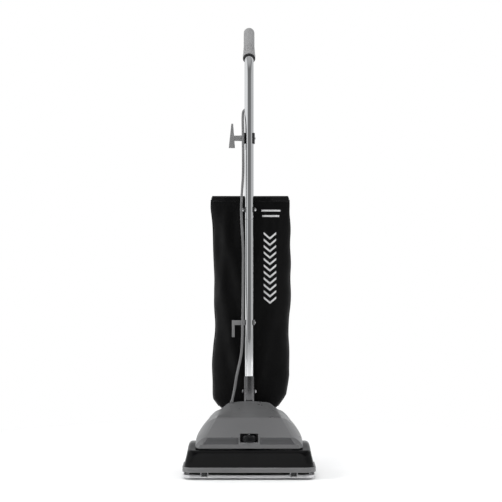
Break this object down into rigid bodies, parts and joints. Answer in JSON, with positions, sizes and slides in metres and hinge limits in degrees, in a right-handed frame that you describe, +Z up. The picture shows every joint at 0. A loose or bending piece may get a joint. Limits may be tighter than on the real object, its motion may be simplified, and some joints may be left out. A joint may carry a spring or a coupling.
{
  "type": "upright vacuum cleaner",
  "caption": "Commercial upright vacuum cleaner with a cloth dust bag, a bent tube handle and a wide floor nozzle on wheels; the handle tilts back and the brush roll turns.",
  "frame": {"origin": "floor level under the centre of the machine, without the free part of its cord", "axes": "+Z up, -Y towards the front of the nozzle, +X to the right hand as seen from the front"},
  "size_m": [0.34, 0.785, 1.2178],
  "materials": {
    "black_gloss": "polished black moulding",
    "grey_hood": "gloss grey moulding",
    "grey_rubber": "matt grey rubber",
    "grey_plastic": "satin grey moulding",
    "black_plastic": "matt black moulding",
    "chrome": "bright plated steel tube",
    "satin_steel": "satin plated steel",
    "bright_steel": "bright rolled steel",
    "cast_aluminium": "as cast",
    "copper": null,
    "carbon": "pressed carbon",
    "belt_rubber": "black moulded rubber",
    "black_fabric": "woven black cloth",
    "bristle": "black filament tufts",
    "cord_rubber": "grey sheathed flex"
  },
  "bodies": {
    "base": {"chassis": "black_plastic", "nozzle_shell": "black_gloss", "furniture_bumper": "grey_rubber", "bottom_plate": "bright_steel", "motor_hood": "grey_hood", "fan_cover": "cast_aluminium", "fan_scroll": "cast_aluminium", "motor_can": "cast_aluminium", "motor_end_bell": "black_plastic", "field_core": "satin_steel", "carbon_brush_left": "carbon", "carbon_brush_right": "carbon", "front_bearing": "bright_steel", "rear_bearing": "bright_steel", "exhaust_duct": "black_plastic", "drive_belt": "belt_rubber", "roll_bearing_left": "black_plastic", "roll_bearing_right": "black_plastic", "rear_axle_left": "bright_steel", "rear_axle_right": "bright_steel", "pivot_pin_left": "bright_steel", "pivot_pin_right": "bright_steel", "strain_relief": "belt_rubber", "pedal_spring": "bright_steel", "cord_coil": "cord_rubber", "coil_tie": "black_fabric", "plug": "cord_rubber", "power_cord": "cord_rubber"},
    "rotor": {"motor_shaft": "bright_steel", "armature": "copper", "commutator": "copper", "suction_fan": "cast_aluminium"},
    "roll": {"brush_roll": "black_plastic", "bristle_row_left": "bristle", "bristle_row_right": "bristle"},
    "knob": {"height_knob": "black_gloss", "height_cam": "black_plastic"},
    "carriage": {"wheel_carriage": "bright_steel", "front_axle": "bright_steel"},
    "front_wheel_l": {"front_wheel_left": "black_plastic"},
    "front_wheel_r": {"front_wheel_right": "black_plastic"},
    "rear_wheel_l": {"rear_wheel_left": "black_plastic"},
    "rear_wheel_r": {"rear_wheel_right": "black_plastic"},
    "switch": {"power_switch": "black_plastic"},
    "pedal": {"release_pedal": "black_plastic"},
    "latch_l": {"plate_latch_left": "black_plastic"},
    "latch_r": {"plate_latch_right": "black_plastic"},
    "handle": {"handle_fork": "satin_steel", "handle_socket": "satin_steel", "lower_tube": "chrome", "upper_tube": "chrome", "hand_grip": "grey_rubber", "socket_bolt": "bright_steel", "clip_bolt": "bright_steel", "lower_cord_hook": "grey_plastic", "upper_hook_clamp": "black_plastic", "bag_hanger": "bright_steel", "dust_bag": "black_fabric", "bag_neck": "belt_rubber"},
    "hook": {"upper_cord_hook": "grey_plastic"}
  },
  "joints": [
    {"name": "handle_tilt", "type": "hinge", "parent": "base", "child": "handle", "pos_m": [0, -0.0164, 0.092], "axis": [-1, 0, 0], "range_deg": [0, 55], "deforming": ["power_cord", "bag_neck"]},
    {"name": "motor_spin", "type": "hinge", "parent": "base", "child": "rotor", "pos_m": [0, -0.0934, 0.092], "axis": [0, 1, 0], "continuous": true},
    {"name": "brush_roll_spin", "type": "hinge", "parent": "base", "child": "roll", "pos_m": [0, -0.1864, 0.033], "axis": [1, 0, 0], "continuous": true},
    {"name": "knob_turn", "type": "hinge", "parent": "base", "child": "knob", "pos_m": [0, -0.2069, 0.0925], "axis": [0, 0, 1], "range_deg": [0, 180]},
    {"name": "carriage_tilt", "type": "hinge", "parent": "base", "child": "carriage", "pos_m": [0, -0.0939, 0.0165], "axis": [1, 0, 0], "range_deg": [0, 20]},
    {"name": "front_wheel_left_spin", "type": "hinge", "parent": "carriage", "child": "front_wheel_l", "pos_m": [-0.051, -0.1164, 0.015], "axis": [1, 0, 0], "continuous": true},
    {"name": "front_wheel_right_spin", "type": "hinge", "parent": "carriage", "child": "front_wheel_r", "pos_m": [0.051, -0.1164, 0.015], "axis": [1, 0, 0], "continuous": true},
    {"name": "rear_wheel_left_spin", "type": "hinge", "parent": "base", "child": "rear_wheel_l", "pos_m": [-0.1, 0.0136, 0.038], "axis": [1, 0, 0], "continuous": true},
    {"name": "rear_wheel_right_spin", "type": "hinge", "parent": "base", "child": "rear_wheel_r", "pos_m": [0.1, 0.0136, 0.038], "axis": [1, 0, 0], "continuous": true},
    {"name": "pedal_press", "type": "hinge", "parent": "base", "child": "pedal", "pos_m": [0.046, 0.0396, 0.036], "axis": [-1, 0, 0], "range_deg": [0, 15], "stiffness_Nm_per_rad": 0.6},
    {"name": "switch_rock", "type": "hinge", "parent": "base", "child": "switch", "pos_m": [-0.046, 0.0521, 0.036], "axis": [1, 0, 0], "range_deg": [0, 16]},
    {"name": "latch_left_flip", "type": "hinge", "parent": "base", "child": "latch_l", "pos_m": [-0.1135, -0.2434, 0.0107], "axis": [1, 0, 0], "range_deg": [0, 85]},
    {"name": "latch_right_flip", "type": "hinge", "parent": "base", "child": "latch_r", "pos_m": [0.1135, -0.2434, 0.0107], "axis": [1, 0, 0], "range_deg": [0, 85]},
    {"name": "hook_swivel", "type": "hinge", "parent": "handle", "child": "hook", "pos_m": [0, 0.0876, 0.8912], "axis": [1, 0, 0], "range_deg": [0, 180]}
  ],
  "couplings": [
    {"joint": "brush_roll_spin", "follows": "motor_spin", "ratio": -0.3895},
    {"joint": "carriage_tilt", "follows": "knob_turn", "ratio": 0.1111}
  ]
}
